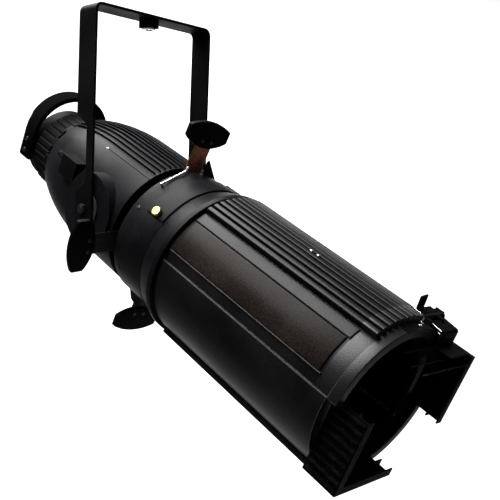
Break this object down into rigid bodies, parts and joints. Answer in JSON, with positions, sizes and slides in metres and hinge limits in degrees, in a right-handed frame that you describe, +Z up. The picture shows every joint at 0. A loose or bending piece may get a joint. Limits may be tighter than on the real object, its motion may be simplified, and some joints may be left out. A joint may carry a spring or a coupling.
{
  "type": "ellipsoidal spotlight",
  "caption": "Black zoom profile spotlight: lamp house in a strap yoke, gate with framing shutters, ribbed lens tube, accessory holder.",
  "frame": {"origin": "centre of the hanging bolt hole at the top face of the yoke bar", "axes": "+Z up along the hanging bolt, +X along the tilt axis, the beam points to -Y and 25 degrees down at rest"},
  "size_m": [0.3962, 0.8867, 0.6865],
  "materials": {
    "yoke_black": "semi-matt black powder coat",
    "cast_black": "satin black paint on die cast aluminium",
    "tube_black": "satin black paint on extruded aluminium",
    "panel_brown": "semi-gloss black-brown anodised strip",
    "steel": "bright zinc plated steel",
    "aluminium": "plain machined aluminium",
    "mirror": "polished reflector",
    "brass": "turned brass",
    "blade_steel": "heat tinted stainless steel",
    "knob_black": "matt black heat resisting plastic",
    "grip_black": "matt black moulded grip",
    "fibre": "brown fibre friction disc",
    "lens_glass": "clear optical glass",
    "bulb_glass": "quartz",
    "ceramic": "white ceramic"
  },
  "bodies": {
    "yoke": {"yoke_strap": "yoke_black", "hanging_nut": "yoke_black", "hanging_washer": "steel"},
    "head": {"lamphouse": "cast_black", "trunnion_bosses": "cast_black", "friction_washers": "fibre", "pivot_bolts": "steel", "lamphouse_screws": "steel", "vent_ring": "cast_black", "rear_tube": "cast_black", "rear_cap": "cast_black", "handle_arch": "grip_black", "handle_screws": "steel", "terminal_box": "cast_black", "cable_gland": "knob_black", "reflector": "mirror", "bearing_ring": "cast_black"},
    "focus_ring": {"knurled_ring": "knob_black"},
    "lamp_tray": {"lamp_carrier": "aluminium", "lamp_base": "ceramic", "lamp_bulb": "bulb_glass"},
    "tilt_lock": {"tilt_knob": "knob_black"},
    "barrel": {"gate_hub": "cast_black", "hub_retainer": "steel", "shutter_guides": "cast_black", "gate_housing": "cast_black", "gate_screws": "steel", "gate_clip": "steel", "gate_flange": "cast_black", "lens_tube": "tube_black", "side_panels": "panel_brown", "tube_screws": "steel", "lens_rails": "steel", "rail_rings": "cast_black", "front_collar": "cast_black", "holder_lower": "cast_black", "holder_upper": "cast_black", "saddle_screws": "steel", "latch_hinge_pin": "steel"},
    "gobo_cover": {"slot_cover": "cast_black"},
    "cover_thumbscrew": {"cover_screw": "brass"},
    "shutter_top": {"shutter_blade_top": "blade_steel", "shutter_handle_top": "grip_black", "rivets_top": "steel"},
    "shutter_bottom": {"shutter_blade_bottom": "blade_steel", "shutter_handle_bottom": "grip_black", "rivets_bottom": "steel"},
    "shutter_left": {"shutter_blade_left": "blade_steel", "shutter_handle_left": "grip_black", "rivets_left": "steel"},
    "shutter_right": {"shutter_blade_right": "blade_steel", "shutter_handle_right": "grip_black", "rivets_right": "steel"},
    "zoom_carriage": {"zoom_carrier": "cast_black", "zoom_lens": "lens_glass"},
    "zoom_lock": {"zoom_knob": "knob_black"},
    "focus_carriage": {"focus_carrier": "cast_black", "focus_lens": "lens_glass"},
    "focus_lock": {"focus_knob": "knob_black"},
    "latch": {"latch_plate": "cast_black"}
  },
  "joints": [
    {"name": "head_tilt", "type": "hinge", "parent": "yoke", "child": "head", "pos_m": [0, 0, -0.335], "axis": [1, 0, 0], "range_deg": [-55, 38]},
    {"name": "tilt_lock_turn", "type": "hinge", "parent": "head", "child": "tilt_lock", "pos_m": [0.13, 0, -0.335], "axis": [1, 0, 0], "range_deg": [-180, 180]},
    {"name": "barrel_turn", "type": "hinge", "parent": "head", "child": "barrel", "pos_m": [0, -0.05438, -0.36036], "axis": [0, -0.9063, -0.4226], "range_deg": [-20, 20]},
    {"name": "beam_focus_turn", "type": "hinge", "parent": "head", "child": "focus_ring", "pos_m": [0, 0.20845, -0.2378], "axis": [0, -0.9063, -0.4226], "range_deg": [0, 120]},
    {"name": "lamp_tray_slide", "type": "slide", "parent": "head", "child": "lamp_tray", "axis": [0, -0.9063, -0.4226], "range_m": [0, 0.008]},
    {"name": "gobo_cover_hinge", "type": "hinge", "parent": "barrel", "child": "gobo_cover", "pos_m": [0.05106, -0.17303, -0.29757], "axis": [0, 0.9063, 0.4226], "range_deg": [0, 50]},
    {"name": "cover_thumbscrew_turn", "type": "hinge", "parent": "gobo_cover", "child": "cover_thumbscrew", "pos_m": [-0.09783, -0.15658, -0.33521], "axis": [-0.829, -0.2363, 0.5068], "continuous": true},
    {"name": "shutter_top_slide", "type": "slide", "parent": "barrel", "child": "shutter_top", "axis": [-0.0785, 0.4213, -0.9035], "range_m": [0, 0.034]},
    {"name": "shutter_bottom_slide", "type": "slide", "parent": "barrel", "child": "shutter_bottom", "axis": [0.0436, -0.4222, 0.9054], "range_m": [0, 0.034]},
    {"name": "shutter_left_slide", "type": "slide", "parent": "barrel", "child": "shutter_left", "axis": [0.9903, -0.0588, 0.1261], "range_m": [0, 0.034]},
    {"name": "shutter_right_slide", "type": "slide", "parent": "barrel", "child": "shutter_right", "axis": [-0.9903, -0.0588, 0.1261], "range_m": [0, 0.034]},
    {"name": "zoom_slide", "type": "slide", "parent": "barrel", "child": "zoom_carriage", "axis": [0, -0.9063, -0.4226], "range_m": [-0.06, 0.09]},
    {"name": "zoom_lock_turn", "type": "hinge", "parent": "zoom_carriage", "child": "zoom_lock", "pos_m": [0.12557, -0.28611, -0.43129], "axis": [0.9659, -0.1094, 0.2346], "range_deg": [-180, 180]},
    {"name": "focus_slide", "type": "slide", "parent": "barrel", "child": "focus_carriage", "axis": [0, -0.9063, -0.4226], "range_m": [-0.03, 0.014]},
    {"name": "focus_lock_turn", "type": "hinge", "parent": "focus_carriage", "child": "focus_lock", "pos_m": [0.12557, -0.44018, -0.50314], "axis": [0.9659, -0.1094, 0.2346], "range_deg": [-180, 180]},
    {"name": "latch_lift", "type": "hinge", "parent": "barrel", "child": "latch", "pos_m": [0.0685, -0.54541, -0.45968], "axis": [-1, 0, 0], "range_deg": [0, 20], "stiffness_Nm_per_rad": 0.3, "springref_deg": -17.19}
  ],
  "couplings": [
    {"joint": "lamp_tray_slide", "follows": "beam_focus_turn", "m_per_rad": 0.0038197}
  ]
}
